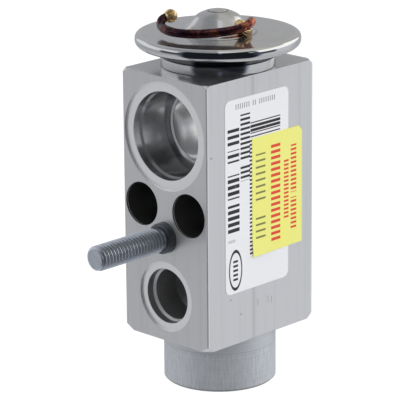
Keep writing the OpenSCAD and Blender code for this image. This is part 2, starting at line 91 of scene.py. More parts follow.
class Value:
    """A shader socket. Arithmetic on it adds Math nodes."""

    def __init__(self, shader, socket):
        self.shader = shader
        self.socket = socket

    def __add__(self, other):
        return self.shader.math("ADD", self, other)

    def __sub__(self, other):
        return self.shader.math("SUBTRACT", self, other)

    def __rsub__(self, other):
        return self.shader.math("SUBTRACT", other, self)

    def __mul__(self, other):
        return self.shader.math("MULTIPLY", self, other)

    def __truediv__(self, other):
        return self.shader.math("DIVIDE", self, other)

    def __rtruediv__(self, other):
        return self.shader.math("DIVIDE", other, self)

    def __pow__(self, other):
        return self.shader.math("POWER", self, other)

    def __lt__(self, other):
        return self.shader.math("LESS_THAN", self, other)

    def __gt__(self, other):
        return self.shader.math("GREATER_THAN", self, other)

    def __abs__(self):
        return self.shader.math("ABSOLUTE", self)

    __radd__ = __add__
    __rmul__ = __mul__


class Shader:
    """Builds one node tree, with lengths in millimetres."""

    def __init__(self, owner):
        owner.use_nodes = True
        self.tree = owner.node_tree
        self.tree.nodes.clear()

    def node(self, kind, settings=None, sockets=None):
        """Adds a node: its settings first, then the values or links of its sockets."""
        made = self.tree.nodes.new(kind)
        for name, value in (settings or {}).items():
            setattr(made, name, value)
        for name, value in (sockets or {}).items():
            if isinstance(value, Value):
                self.tree.links.new(value.socket, made.inputs[name])
            else:
                made.inputs[name].default_value = value
        return made

    def out(self, node, output=0):
        return Value(self, node.outputs[output])

    def math(self, operation, *values):
        return self.out(self.node("ShaderNodeMath", {"operation": operation}, dict(enumerate(values))))

    def clamp(self, value):
        return self.out(self.node("ShaderNodeClamp", {}, {0: value}))

    def rise(self, value, low, high):
        """A soft step from 0 below low to 1 above high."""
        settings = {"interpolation_type": "SMOOTHSTEP"}
        return self.out(self.node("ShaderNodeMapRange", settings, {0: value, 1: low, 2: high}))

    def band(self, value, low, high, soft):
        """1 between low and high, with soft ends."""
        return self.rise(value, low - soft, low + soft) * (1 - self.rise(value, high - soft, high + soft))

    def largest(self, first, *others):
        for other in others:
            first = self.math("MAXIMUM", first, other)
        return first

    def distance(self, u, v):
        return self.math("SQRT", u * u + v * v)

    def blend(self, factor, low, high):
        """A number between low and high."""
        return self.out(self.node("ShaderNodeMix", {"data_type": "FLOAT"}, {0: factor, 2: low, 3: high}))

    def colour(self, factor, low, high):
        """A colour between two others, each a triple or a link."""
        ends = {6: low, 7: high}
        for key, end in ends.items():
            if not isinstance(end, Value):
                ends[key] = (*end, 1)
        return self.out(self.node("ShaderNodeMix", {"data_type": "RGBA"}, {0: factor, **ends}), 2)

    def place(self):
        """The point on the piece in millimetres, as a vector and as its x, y and z."""
        raw = self.out(self.node("ShaderNodeTexCoord"), "Object")
        point = self.stretch(raw, (1 / MM, 1 / MM, 1 / MM))
        split = self.node("ShaderNodeSeparateXYZ", {}, {0: point})
        return point, self.out(split, 0), self.out(split, 1), self.out(split, 2)

    def stretch(self, vector, scale):
        node = self.node("ShaderNodeVectorMath", {"operation": "MULTIPLY"}, {0: vector, 1: scale})
        return self.out(node)

    def join(self, x, y, z):
        return self.out(self.node("ShaderNodeCombineXYZ", {}, {0: x, 1: y, 2: z}))

    def noise(self, vector, scale, detail=2.0, roughness=0.5):
        sockets = {"Vector": vector, "Scale": scale, "Detail": detail, "Roughness": roughness}
        return self.out(self.node("ShaderNodeTexNoise", {}, sockets))

    def bump(self, height, distance, bevel=0):
        """A bumped normal. The bevel rounds hard edges by that radius in millimetres."""
        sockets = {"Height": height, "Distance": distance * MM, "Strength": 1.0}
        if bevel:
            rounded = self.node("ShaderNodeBevel", {"samples": 6}, {"Radius": bevel * MM})
            sockets["Normal"] = self.out(rounded)
        return self.out(self.node("ShaderNodeBump", {}, sockets))

    def surface(self, sockets):
        """Ends the tree in a Principled BSDF with these sockets."""
        sockets = {k: (*v, 1) if isinstance(v, tuple) and len(v) == 3 else v for k, v in sockets.items()}
        shader = self.node("ShaderNodeBsdfPrincipled", {}, sockets)
        self.node("ShaderNodeOutputMaterial", {}, {"Surface": self.out(shader)})


def new_material(name):
    material = bpy.data.materials.new(name)
    return material, Shader(material)


def dress(node, material):
    """Gives a CAD node its material."""
    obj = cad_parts[node]
    if not obj.material_slots:
        obj.data.materials.append(material)
    for slot in obj.material_slots:
        slot.material = material


# ---- meshes


def add_piece(name, mesh, material, slot, *nodes, body=BODY, angle=35):
    """Adds a finished mesh to the scene in place of the CAD nodes it stands for."""
    mesh.materials.append(material)
    mesh.shade_smooth()
    mesh.set_sharp_from_angle(angle=math.radians(angle))
    obj = bpy.data.objects.new(name, mesh)
    bpy.context.scene.collection.objects.link(obj)
    if body:
        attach(obj, body)
    if nodes:
        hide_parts(*nodes)
    return obj


def finish_mesh(name, build, merge=1e-6):
    """Turns a bmesh into a mesh with its doubles merged and its faces turned outwards."""
    bmesh.ops.remove_doubles(build, verts=build.verts, dist=merge)
    bmesh.ops.dissolve_degenerate(build, edges=build.edges, dist=merge)
    bmesh.ops.recalc_face_normals(build, faces=build.faces)
    mesh = bpy.data.meshes.new(name)
    build.to_mesh(mesh)
    build.free()
    return mesh


def add_grid(build, rows, closed_rows=False, closed_ring=True):
    """Adds rows of points, in millimetres, joined by quads."""
    verts = [[build.verts.new([c * MM for c in point]) for point in row] for row in rows]
    last_row = len(verts) if closed_rows else len(verts) - 1
    for i in range(last_row):
        here, there = verts[i], verts[(i + 1) % len(verts)]
        last = len(here) if closed_ring else len(here) - 1
        for k in range(last):
            m = (k + 1) % len(here)
            build.faces.new((here[k], here[m], there[m], there[k]))
    return verts


def turned(build, outline, steps, matrix=Matrix()):
    """Adds the closed outline of (radius, height) points turned about Z."""
    rows = []
    for r, z in outline:
        angles = [2 * math.pi * k / steps for k in range(steps)]
        rows.append([matrix @ Vector((r * math.cos(a), r * math.sin(a), z)) for a in angles])
    add_grid(build, rows, closed_rows=True)


def arc(cx, cz, r, start, end, steps, skip=0):
    """Points on an arc. The angles run from straight up towards +X."""
    angles = [math.radians(start + (end - start) * i / steps) for i in range(skip, steps + 1)]
    return [(cx + r * math.sin(a), cz + r * math.cos(a)) for a in angles]


def curve_point(points, i, t):
    a, b, c, d = (points[max(0, min(len(points) - 1, i + k))] for k in (-1, 0, 1, 2))
    return 0.5 * (2 * b + (c - a) * t + (2 * a - 5 * b + 4 * c - d) * t ** 2 + (3 * b - a - 3 * c + d) * t ** 3)


def smooth_path(points, steps):
    path = [curve_point(points, i, s / steps) for i in range(len(points) - 1) for s in range(steps)]
    return path + [points[-1]]


# ---- the head

CROWN_R = 9.1653
DOME_R = 8.75
DOME_H = 5.5
SHOULDER_R = 5.1
SHOULDER_ROUND = 2.5
FOOT_ROUND = 1.2
FLANK = (0.7344, 0.6787)
FLANK_TILT = math.degrees(math.atan2(*FLANK))


def dome_outline():
    """The dome's section from its top down to the head's flat."""
    middle = (0.0, FLAT_Z + DOME_H - CROWN_R)
    far = DOME_R * FLANK[0] + (FLAT_Z - middle[1]) * FLANK[1]
    turn = FLANK_TILT - math.degrees(math.acos((far - SHOULDER_ROUND) / (CROWN_R - SHOULDER_ROUND)))
    way = (math.sin(math.radians(turn)), math.cos(math.radians(turn)))
    shoulder = ((CROWN_R - SHOULDER_ROUND) * way[0], middle[1] + (CROWN_R - SHOULDER_ROUND) * way[1])
    foot = (DOME_R + FOOT_ROUND * math.tan(math.radians(FLANK_TILT / 2)), FLAT_Z + FOOT_ROUND)
    crown = arc(*middle, CROWN_R, 0, turn, 64)
    crown = [(r, z - stamp_depth(r)) for r, z in crown]
    return (crown + arc(*shoulder, SHOULDER_ROUND, turn, FLANK_TILT, 12, 1)
            + arc(*foot, FOOT_ROUND, 180 + FLANK_TILT, 180, 12))


def rim_corner(crease):
    """The rim's rolled upper corner, a little squarer than a round one."""
    angles = [math.radians(90 * i / 24) for i in range(25)]
    return [(crease + 1.5 * math.sin(a) ** 0.7, RIM_Z + 1.5 * max(0.0, math.cos(a)) ** 0.7) for a in angles]


def stamp_depth(r):
    """The shallow round mark in the dome's top."""
    off = abs(r - 2.3)
    return 0.13 * max(0.0, 1 - (off / 0.34) ** 2) if off < 0.34 else 0.0


class VALVE_PG_head(bpy.types.PropertyGroup):
    rim_radius: FloatProperty(
        name="Rim Radius", description="Outer radius of the head's rim", subtype="DISTANCE", unit="LENGTH",
        default=node_size("upper_cover", 0))
    segments: IntProperty(
        name="Segments", description="Segments round the head", default=256, min=32, max=512)
    steel: FloatVectorProperty(
        name="Steel", description="Colour of the head's stainless steel", subtype="COLOR", min=0, max=1,
        default=(0.72, 0.72, 0.725))


def head_material(settings):
    material, s = new_material("polished_stainless")
    point, x, y, z = s.place()
    r = s.distance(x, y)
    dome = s.rise(z, FLAT_Z + 0.25, FLAT_Z + 0.9)
    flat = s.band(z, FLAT_Z - 0.05, FLAT_Z + 0.3, 0.04) * (r < 18)
    # painted shade: a near-black band on the collar's top, just under the flange
    shade_under_flange = s.band(z, TOP_Z + 2.46, RIM_Z - 1.35, 0.03) * (r < 17)
    collar = z < 81.0
    turned_lines = s.noise(s.join(r * 5, z * 6, 0), 1.0, 3)
    grain = s.noise(point, 2.4, 4, 0.6)
    patches = s.noise(point, 0.35, 3)
    rough = s.blend(dome, 0.06, 0.22) + flat * 0.05 + collar * 0.08 + (patches - 0.5) * 0.05 + collar * (turned_lines - 0.5) * 0.2
    tone = 0.94 + (patches - 0.5) * 0.14 + (grain - 0.5) * 0.12 * dome - shade_under_flange * 0.74
    # painted shade: the stamped ring in the dome's top and the crease round the dome's foot are coloured darker
    mark = s.band(r, 2.1, 2.5, 0.1) * dome * 0.55 + s.band(r, 8.75, 9.25, 0.2) * (z < FLAT_Z + 0.7) * 0.3
    tone = tone - mark * (z > RIM_Z + 1)
    colour = s.colour(s.clamp(tone - 0.06 * dome - 0.13 * flat), (0.0, 0.0, 0.0), tuple(settings.steel))
    height = turned_lines * s.blend(collar, 0.3, 1.2) + grain * s.blend(dome, 0.15, 0.5)
    s.surface({"Base Color": colour, "Metallic": 1 - flat * 0.07, "Roughness": s.clamp(rough),
               "Normal": s.bump(height, 0.004)})
    return material


class VALVE_OT_head(bpy.types.Operator):
    """Make the power head's turned shells"""
    bl_idname = "valve.head"
    bl_label = "Power Head"

    def execute(self, context):
        settings = context.scene.valve_head
        rim_r = settings.rim_radius / MM
        crease = rim_r - 1.5
        weld = rim_r - 0.85
        material = head_material(settings)
        cover = dome_outline() + rim_corner(crease) + [
            (weld, RIM_Z), (weld, SHEET_Z + 0.2), (12.0, SHEET_Z + 0.2), (11.5, FLAT_Z - 1.15), (7.89, FLAT_Z - 1.15)]
        cover += arc(0, FLAT_Z + DOME_H - CROWN_R, CROWN_R - 1.15, 31.9, 0, 12)
        build = bmesh.new()
        turned(build, cover, settings.segments)
        add_piece("upper_cover_shell", finish_mesh("upper_cover_shell", build), material, "polished_steel",
                  "upper_cover")
        flange = FLAT_Z - 3.0
        housing = [(7.2, 72.95), (9.1, 72.95), (9.5, 73.35), (9.5, TOP_Z), (13.25, TOP_Z), (13.45, TOP_Z + 0.06),
                   (13.55, TOP_Z + 0.25), (13.55, TOP_Z + 2.3), (13.42, TOP_Z + 2.42), (13.15, TOP_Z + 2.5),
                   (13.15, TOP_Z + 3.5), (13.3, TOP_Z + 3.65)]
        housing += arc(14.25, flange - 0.7, 0.7, -90, 0, 8)
        housing += arc(crease, RIM_Z, 1.5, 180, 90, 20)
        housing += [(weld, RIM_Z), (weld, SHEET_Z), (12.0, SHEET_Z), (12.0, TOP_Z + 3), (7.2, TOP_Z + 3)]
        build = bmesh.new()
        turned(build, housing, settings.segments)
        add_piece("lower_housing_shell", finish_mesh("lower_housing_shell", build), material, "polished_steel",
                  "lower_housing")
        return {"FINISHED"}


# ---- the charge tube

FERRULE_TURN = math.radians(10)
FERRULE_R, FERRULE_LOW = DOME_R - 0.42 * 3.65, FLAT_Z + 0.42 * 3.95
TUBE_RUN = [(9.2, 1.4, 3.6), (9.9, 0.7, 3.65), (10.1, -0.5, 3.3), (9.6, -2.3, 2.8), (8.7, -4.4, 2.4), (6.8, -7.3, 2.1),
            (4.4, -10, 1.9), (2.1, -11.8, 1.85), (-0.3, -12.8, 1.85), (-2.6, -13, 1.9), (-4.9, -12.5, 1.95),
            (-6.8, -11.6, 2.1), (-7.8, -10.9, 2.6), (-8.2, -10.1, 3.3), (-8, -9.3, 3.7), (-7.81, -8.93, 3.82)]


def on_ferrule(h):
    out = FERRULE_R + h * FLANK[0]
    return Vector((out * math.cos(FERRULE_TURN), out * math.sin(FERRULE_TURN), FERRULE_LOW + h * FLANK[1]))


def ferrule_frame():
    turn = Matrix.Rotation(FERRULE_TURN, 4, "Z") @ Matrix.Rotation(math.radians(FLANK_TILT), 4, "Y")
    return Matrix.Translation(on_ferrule(0)) @ turn


class VALVE_PG_tube(bpy.types.PropertyGroup):
    radius: FloatProperty(
        name="Tube Radius", description="Radius of the charge tube", subtype="DISTANCE", unit="LENGTH",
        default=1.05 * MM)
    bead_radius: FloatProperty(
        name="Bead Radius", description="Radius of the bead at the tube's end", subtype="DISTANCE", unit="LENGTH",
        default=1.6 * MM)
    copper: FloatVectorProperty(
        name="Copper", description="Colour of the heated copper", subtype="COLOR", min=0, max=1,
        default=(0.46, 0.15, 0.09))
    scale: FloatVectorProperty(
        name="Scale", description="Colour of the dark oxide on the copper", subtype="COLOR", min=0, max=1,
        default=(0.026, 0.008, 0.016))
    brass: FloatVectorProperty(
        name="Brass", description="Colour of the brazing brass", subtype="COLOR", min=0, max=1,
        default=(0.95, 0.68, 0.32))


def copper_material(settings):
    material, s = new_material("oxidised_copper")
    point, x, y, z = s.place()
    cloud = s.noise(point, 0.55, 4, 0.6)
    fine = s.noise(point, 5.0, 3)
    heat = s.rise(s.distance(x - 9.4, y + 0.5), 5.5, 1.2)
    fresh = s.clamp(s.rise(cloud, 0.46, 0.64) * 0.26 + heat * s.rise(cloud, 0.36, 0.56))
    colour = s.colour(fresh, tuple(settings.scale), tuple(settings.copper))
    rough = 0.1 + cloud * 0.12
    s.surface({"Base Color": colour, "Metallic": s.blend(fresh, 0.75, 1.0), "Roughness": rough,
               "Normal": s.bump(fine + cloud * 3, 0.025)})
    return material


def brass_material(name, settings, tarnish_and_shade):
    material, s = new_material(name)
    point, x, y, z = s.place()
    cloud = s.noise(point, 1.1, 4, 0.65)
    fine = s.noise(point, 6.0, 3)
    # dark tarnish in cloudy spots, and painted shade on the lower part next to the head's flat
    dark = s.largest(s.rise(cloud, 0.42, 0.62), s.rise(z, FLAT_Z + 1.7, FLAT_Z + 1.1)) * tarnish_and_shade
    brass = tuple(settings.brass)
    colour = s.colour(dark, brass, (brass[0] * 0.14, brass[1] * 0.11, brass[2] * 0.14))
    s.surface({"Base Color": colour, "Metallic": 0.86, "Roughness": 0.16 + fine * 0.16,
               "Normal": s.bump(fine + cloud, 0.02)})
    return material


def swept_tube(build, path, radius, sides, wobble):
    side = Vector((0, 0, 1))
    rows = []
    for i, point in enumerate(path):
        way = (path[min(i + 1, len(path) - 1)] - path[max(i - 1, 0)]).normalized()
        side = (side - side.dot(way) * way).normalized()
        other = way.cross(side)
        r = radius * (1 + wobble * noise.noise(point * 0.6))
        row = []
        for k in range(sides):
            a = 2 * math.pi * k / sides
            row.append(point + r * (math.cos(a) * side + math.sin(a) * other))
        rows.append(row)
    verts = add_grid(build, rows)
    build.faces.new(verts[0])
    build.faces.new(list(reversed(verts[-1])))


class VALVE_OT_charge_tube(bpy.types.Operator):
    """Make the charge tube, its brazed ferrule and the bead that closes it"""
    bl_idname = "valve.charge_tube"
    bl_label = "Charge Tube"

    def execute(self, context):
        settings = context.scene.valve_tube
        radius = settings.radius / MM
        points = [on_ferrule(0.1), on_ferrule(0.8)] + [Vector((x, y, FLAT_Z + z)) for x, y, z in TUBE_RUN]
        path = smooth_path(points, 8)
        build = bmesh.new()
        swept_tube(build, path, radius, 24, 0.035)
        add_piece("charge_tube_bend", finish_mesh("charge_tube_bend", build), copper_material(settings),
                  "dark_copper", "charge_tube")
        self.add_ferrule(settings, radius)
        self.add_bead(settings, path)
        return {"FINISHED"}

    def add_ferrule(self, settings, radius):
        outline = [(radius + 0.1, -0.5), (2.1, -0.5), (2.4, -0.22), (2.48, 0.08), (2.36, 0.3), (2.1, 0.38), (2.0, 0.46),
                   (2.05, 0.6), (1.95, 0.8), (1.72, 0.88), (1.6, 0.96), (1.5, 1.1), (1.3, 1.16),
                   (radius + 0.1, 1.1)]
        build = bmesh.new()
        turned(build, outline, 48, ferrule_frame())
        for vert in build.verts:
            vert.co += vert.co.normalized() * 0.04 * MM * noise.noise(vert.co * 900)
        add_piece("tube_ferrule_ring", finish_mesh("tube_ferrule_ring", build),
                  brass_material("brazed_brass", settings, 0.9), "brass", "tube_ferrule", angle=50)

    def add_bead(self, settings, path):
        way = (path[-1] - path[-2]).normalized()
        centre = path[-1] + 0.9 * way
        build = bmesh.new()
        bmesh.ops.create_icosphere(build, subdivisions=5, radius=settings.bead_radius)
        for vert in build.verts:
            lump = noise.noise(vert.co * 500) * 0.06 + noise.noise(vert.co * 1400) * 0.02
            vert.co = vert.co * (1 + lump) + centre * MM
        add_piece("tube_bead_drop", finish_mesh("tube_bead_drop", build),
                  brass_material("bead_brass", settings, 0.8), "brass", "tube_bead", angle=80)


# ---- the stud


class VALVE_PG_stud(bpy.types.PropertyGroup):
    radius: FloatProperty(
        name="Thread Radius", description="Outer radius of the stud's thread", subtype="DISTANCE", unit="LENGTH",
        default=3.0 * MM)
    pitch: FloatProperty(
        name="Pitch", description="Pitch of the stud's thread", subtype="DISTANCE", unit="LENGTH", default=1.0 * MM)
    zinc: FloatVectorProperty(
        name="Zinc", description="Colour of the stud's zinc coat", subtype="COLOR", min=0, max=1,
        default=(0.70, 0.76, 0.84))


def zinc_material(settings):
    material, s = new_material("blue_zinc")
    point, x, y, z = s.place()
    cloud = s.noise(point, 0.8, 3)
    fine = s.noise(point, 7.0, 3)
    foot = s.rise(y, -20.5, -20.2)
    zinc = tuple(settings.zinc)
    axis = s.distance(x, z - STUD_Z)
    # painted shade: the thread's roots are coloured darker than its crests, leaving out the tip's face
    crest = s.largest(s.rise(axis, 2.55, 2.95), y < -40.2)
    colour = s.colour(s.clamp((cloud - 0.35) * 1.4), tuple(c * 0.72 for c in zinc), zinc)
    colour = s.colour(crest, tuple(c * 0.45 for c in zinc), colour)
    colour = s.colour(foot, colour, tuple(c * 0.16 for c in zinc))
    s.surface({"Base Color": colour, "Metallic": 0.85, "Roughness": 0.24 + fine * 0.2,
               "Normal": s.bump(fine, 0.02)})
    return material


def stud_envelope(along, start, end, radius):
    """Largest radius at a distance along the stud: run-out at its start, chamfer at its tip."""
    root = radius - 0.61
    if along < start + 0.9:
        return root + 0.35 * (along - start) / 0.9 + 0.05
    if along > end - 0.9:
        return radius - 0.68 * ((along - end + 0.9) / 0.9) ** 2.2
    return radius


class VALVE_OT_stud(bpy.types.Operator):
    """Make the flange stud with its cut thread"""
    bl_idname = "valve.stud"
    bl_label = "Flange Stud"

    def execute(self, context):
        settings = context.scene.valve_stud
        radius, pitch = settings.radius / MM, settings.pitch / MM
        lay = Matrix.Translation((0, -FACE_Y, STUD_Z)) @ Matrix.Rotation(math.pi / 2, 4, "X")
        build = bmesh.new()
        anchor = [(0.0, -9.0), (3.25, -9.0), (3.65, -8.6), (3.65, 1.65), (3.58, 1.88), (3.35, 2.0), (radius - 0.25, 2.0),
                  (radius - 0.3, 2.2), (radius - 0.45, 2.75), (0.0, 2.75)]
        turned(build, anchor, 64, lay)
        self.add_thread(build, radius, pitch, lay)
        add_piece("flange_stud_threaded", finish_mesh("flange_stud_threaded", build), zinc_material(settings),
                  "zinc_steel", "flange_stud", angle=28)
        return {"FINISHED"}

    def add_thread(self, build, radius, pitch, lay):
        """A helical grid whose edges follow the crest and the root."""
        start, end, sides = 2.6, 22.7, 72
        depth = 0.61 * pitch
        profile = [0, 0, 0.5, 1, 1.1, 1.1, 1, 0.5]
        places = [0, 0.16, 0.36, 0.52, 0.56, 0.68, 0.72, 0.86]
        turns = int((end - start) / pitch) + 3
        rows = []
        for j in range(turns * len(profile)):
            row = []
            drop = profile[j % len(profile)] * depth
            along_0 = start + (j // len(profile) - 1 + places[j % len(profile)]) * pitch
            for k in range(sides + 1):
                along = max(start, min(end, along_0 + pitch * k / sides))
                r = min(radius - drop, stud_envelope(along, start, end, radius))
                a = 2 * math.pi * k / sides
                row.append(lay @ Vector((r * math.cos(a), r * math.sin(a), along)))
            rows.append(row)
        add_grid(build, rows, closed_ring=False)
        r = stud_envelope(end, start, end, radius)
        tip = [(r, end), (r - 0.35, end + 0.0), (0.0, end)]
        cap = []
        for r, z in tip:
            cap.append([lay @ Vector((r * math.cos(2 * math.pi * k / sides), r * math.sin(2 * math.pi * k / sides), z))
                        for k in range(sides)])
        add_grid(build, cap)


# ---- the block


class VALVE_PG_block(bpy.types.PropertyGroup):
    aluminium: FloatVectorProperty(
        name="Aluminium", description="Colour of the block's aluminium", subtype="COLOR", min=0, max=1,
        default=(0.765, 0.772, 0.79))
    grain: FloatProperty(
        name="Grain Depth", description="Depth of the drawn grain", subtype="DISTANCE", unit="LENGTH",
        default=0.006 * MM)


def block_material(settings):
    material, s = new_material("drawn_aluminium")
    point, x, y, z = s.place()
    r = s.distance(x, y)
    boss = z < BLOCK_Z - 0.02
    top = z > TOP_Z - 0.05
    suction = s.distance(x, z - SUCTION_Z)
    front = y < 0
    liquid_z = s.blend(front, OUTLET_Z, INLET_Z)
    liquid = s.distance(x, z - liquid_z)
    spot = (abs(y) > FACE_Y - 0.6) * (abs(y) < FACE_Y - 0.4)
    inside = (abs(x) < FACE_X - 0.1) * (abs(y) < FACE_Y - 0.1) * (1 - boss) * (1 - top)
    side = (1 - boss) * (1 - top) * (1 - inside)
    edge = (abs(x) > FACE_X - 0.33) * (abs(y) > FACE_Y - 0.33) * side * (z < TOP_Z - 1)
    port_face = (abs(y) > FACE_Y - 0.02) * side
    clamp = (s.distance(abs(x) - CLAMP_X, z - CLAMP_Z) < 5.4) * inside
    liquid_bore = (liquid < 7.0) * inside * (1 - spot)
    # painted highlight: thin rings where the port bores step down are coloured near white further on
    ring = (suction < 9.0) * (suction > 8.2) * (abs(y) > FACE_Y - 11.6) * (abs(y) < FACE_Y - 10.8) * inside
    ring = s.largest(ring, liquid_bore * s.band(abs(y), FACE_Y - 2.95, FACE_Y - 2.35, 0.04) * 0.6)
    drawn = s.noise(s.stretch(point, (2.2, 2.2, 0.02)), 1.0, 4, 0.62)
    broad = s.noise(s.stretch(point, (0.5, 0.5, 0.012)), 1.0, 2)
    speckle = s.noise(point, 3.2, 3, 0.6)
    lathe_lines = s.noise(s.join(0, 0, z * 3.2), 1.0, 4, 0.75)
    hatch = s.noise(s.stretch(point, (3.0, 3.0, 0.3)), 1.0, 3, 0.7) * s.rise(z, 9.6, 9.2)
    top_rings = s.noise(s.join(r * 4, 0, 0), 1.0, 3)
    near = s.math("MINIMUM", suction, liquid + 4.4)
    port_rings = s.noise(s.join(near * 3.5, y * 2.5, 0), 1.0, 3)
    cut = s.largest(boss * (lathe_lines + hatch), top * top_rings, inside * port_rings)
    height = side * drawn * 1.3 + cut + speckle * 0.25
    rough = side * (0.33 + (drawn - 0.5) * 0.18 + edge * 0.22) + boss * 0.56 + top * 0.15
    rough = rough + inside * (0.17 + spot * 0.2 + clamp * 0.15) + liquid_bore * 0.2
    streak = s.band(y, -3.1, -2.1, 0.25) * (x > FACE_X - 0.1)
    # painted shade: the port faces are coloured a little darker than the label's face
    tone = 1 - side * s.clamp((broad - 0.5) * 0.3 + (drawn - 0.5) * 0.2) - streak * 0.13 - port_face * 0.06
    # painted shade: the top face is darker, the clamp holes almost black, the liquid ports dark and the suction bore
    # darker towards its top and bottom
    bore = (suction > 9.2) * (suction < 11) * inside * (1 - spot)
    tone = tone - top * 0.33 - clamp * 0.8 - liquid_bore * 0.52 - bore * 0.6 * s.rise(abs(z - SUCTION_Z), 3, 7.5)
    # painted shade along the boss's foot on the floor, and painted light on its top band under the block's edge; the
    # turned and hatched lines are its finish
    tone = tone - boss * (0.15 - (lathe_lines - 0.5) * 0.65 - (hatch - 0.45) * 0.6 + s.rise(z, 0.6, 0.3) * 0.4)
    tone = tone + boss * s.rise(z, 9.3, 9.7) * 0.3 - clamp * 0.05
    metal = s.colour(boss, tuple(settings.aluminium), (0.75, 0.783, 0.825))
    nicks = None
    for along, level, long, wide in ((-16.6, 59.8, 0.3, 0.3), (-1.1, 21.4, 0.9, 0.14), (2.4, 21.3, 1.1, 0.12),
                                     (3.6, 21.0, 1.0, 0.12), (-10.3, 24.2, 0.22, 0.3), (-6.9, 19.9, 0.25, 0.3)):
        nick = s.distance((y - along) / wide, (z - level) / long) < 1
        nicks = nick if nicks is None else nicks + nick
    tone = tone - nicks * (x > FACE_X - 0.02) * 0.35
    colour = s.colour(s.clamp(tone), (0.0, 0.0, 0.0), metal)
    # the spot faces are brighter turned metal; the rings at the bores' steps are a painted highlight
    colour = s.colour(s.largest(spot, ring), colour, (0.97, 0.975, 0.985))
    s.surface({"Base Color": colour, "Metallic": 0.82 - boss * 0.24 - edge * 0.25 - ring * 0.45, "Roughness": s.clamp(rough),
               "Normal": s.bump(height, settings.grain / MM, 0.12)})
    return material


class VALVE_OT_block(bpy.types.Operator):
    """Finish the aluminium block"""
    bl_idname = "valve.block"
    bl_label = "Block"

    def execute(self, context):
        dress("valve_block", block_material(context.scene.valve_block))
        return {"FINISHED"}


# ---- label and tag


class VALVE_PG_label(bpy.types.PropertyGroup):
    paper: FloatVectorProperty(
        name="Label White", description="Colour of the label's stock", subtype="COLOR", min=0, max=1,
        default=(0.88, 0.888, 0.925))
    ink: FloatVectorProperty(
        name="Ink", description="Colour of the label's print", subtype="COLOR", min=0, max=1,
        default=(0.02, 0.02, 0.022))
    tag: FloatVectorProperty(
        name="Tag Yellow", description="Colour of the tag's stock", subtype="COLOR", min=0, max=1,
        default=(0.93, 0.90, 0.19))
    tag_ink: FloatVectorProperty(
        name="Tag Red", description="Colour of the tag's red print", subtype="COLOR", min=0, max=1,
        default=(0.80, 0.06, 0.025))
    tag_pen: FloatVectorProperty(
        name="Tag Pen", description="Colour of the tag's dark bars", subtype="COLOR", min=0, max=1,
        default=(0.07, 0.085, 0.035))
    lift: FloatProperty(
        name="Tag Lift", description="How far the tag's lower corner stands off the label", subtype="DISTANCE",
        unit="LENGTH", default=0.45 * MM)


def bars(s, across, along, line, runs, pitch=None, duty=0.5):
    """Masks for one row of plain bars: line is its range across, runs are ranges along it."""
    low, high = line
    row = s.band(across, low, high, 0.04)
    total = None
    for start, end in runs:
        run = s.band(along, start, end, 0.04)
        total = run if total is None else total + run
    if pitch:
        row = row * s.band(s.math("FRACT", along / pitch), 0.05, 0.05 + duty, 0.04)
    return row * total


def label_material(settings):
    material, s = new_material("printed_label")
    point, x, y, z = s.place()
    bold = bars(s, y, z, (-11.3, -7.4), [(57.4, 60.3), (60.9, 65.8)], 1.5, 0.52)
    bold = bold + bars(s, y, z, (-11.3, -7.4), [(40.2, 47.2), (48.6, 54.4)], 1.5, 0.6)
    plain = bars(s, y, z, (-7.0, -3.75), [(52.3, 56.3), (57.2, 68.3)], 1.15, 0.5)
    fine = bars(s, z, y, (69.75, 71.0), [(-8.6, -3.9), (-3.2, -1.6), (-0.9, 4.9)], 0.72, 0.45)
    stripes = bars(s, z, y, (65.52, 65.8), [(-3.65, 6.5)])
    for low, high in ((64.45, 65.15), (63.5, 64.2), (63.05, 63.3), (62.2, 62.5)):
        stripes = stripes + bars(s, z, y, (low, high), [(-3.65, 6.5)])
    ends = bars(s, y, z, (-3.95, -2.9), [(33.4, 61.6)], 0.94, 0.5)
    faint = bars(s, y, z, (-11.2, -8.8), [(38.1, 38.8)])
    ring = s.distance(y + 8.8, (z - 31.2) * 0.45)
    emblem = s.band(ring, 1.9, 2.25, 0.04) + bars(s, y, z, (-9.6, -8.0), [(28.4, 34.0)], 1.1, 0.5)
    ink = s.clamp(bold + plain + fine * 0.6 + stripes + ends + faint * 0.3 + emblem)
    wear = s.noise(point, 2.0, 3)
    fibre = s.noise(point, 9.0, 2)
    colour = s.colour(ink * s.rise(wear, 0.1, 0.35), tuple(settings.paper), tuple(settings.ink))
    s.surface({"Base Color": colour, "Roughness": 0.42 + wear * 0.12, "Normal": s.bump(fibre, 0.004, 0.05)})
    return material


def tag_material(settings):
    material, s = new_material("printed_tag")
    point, x, y, z = s.place()
    pen = bars(s, y, z, (-2.0, 1.3), [(37.0, 43.2), (46.4, 57.8)], 1.55, 0.3)
    red = bars(s, y, z, (3.2, 6.4), [(34.9, 59.6)], 1.42, 0.52)
    red = red + bars(s, y, z, (7.65, 9.3), [(40.0, 54.6)], 0.98, 0.5)
    red = red + bars(s, y, z, (10.1, 12.1), [(37.1, 44.8), (46.0, 57.7)], 1.06, 0.5)
    cloud = s.noise(point, 0.25, 3)
    fibre = s.noise(point, 8.0, 2)
    yellow = tuple(settings.tag)
    stock = s.colour(cloud, yellow, (yellow[0] * 0.97, yellow[1] * 1.02, yellow[2] * 1.5))
    colour = s.colour(s.clamp(pen * 0.85), stock, tuple(settings.tag_pen))
    colour = s.colour(s.clamp(red), colour, tuple(settings.tag_ink))
    s.surface({"Base Color": colour, "Roughness": 0.38, "Normal": s.bump(fibre, 0.004)})
    return material


def tag_height(y, z, lift):
    """Height of the tag's underside over the block's face."""
    on_label = 1 - max(0.0, min(1.0, (y - 9.35) / 0.8))
    on_label = on_label * on_label * (3 - 2 * on_label)
    low = max(0.0, 1 - (z - 33.15) / 5) * max(0.0, 1 - (y + 3.15) / 13)
    return 0.02 + 0.1 * on_label + lift * low ** 1.2 + 0.012 * noise.noise(Vector((y * 0.3, z * 0.3, 0)))


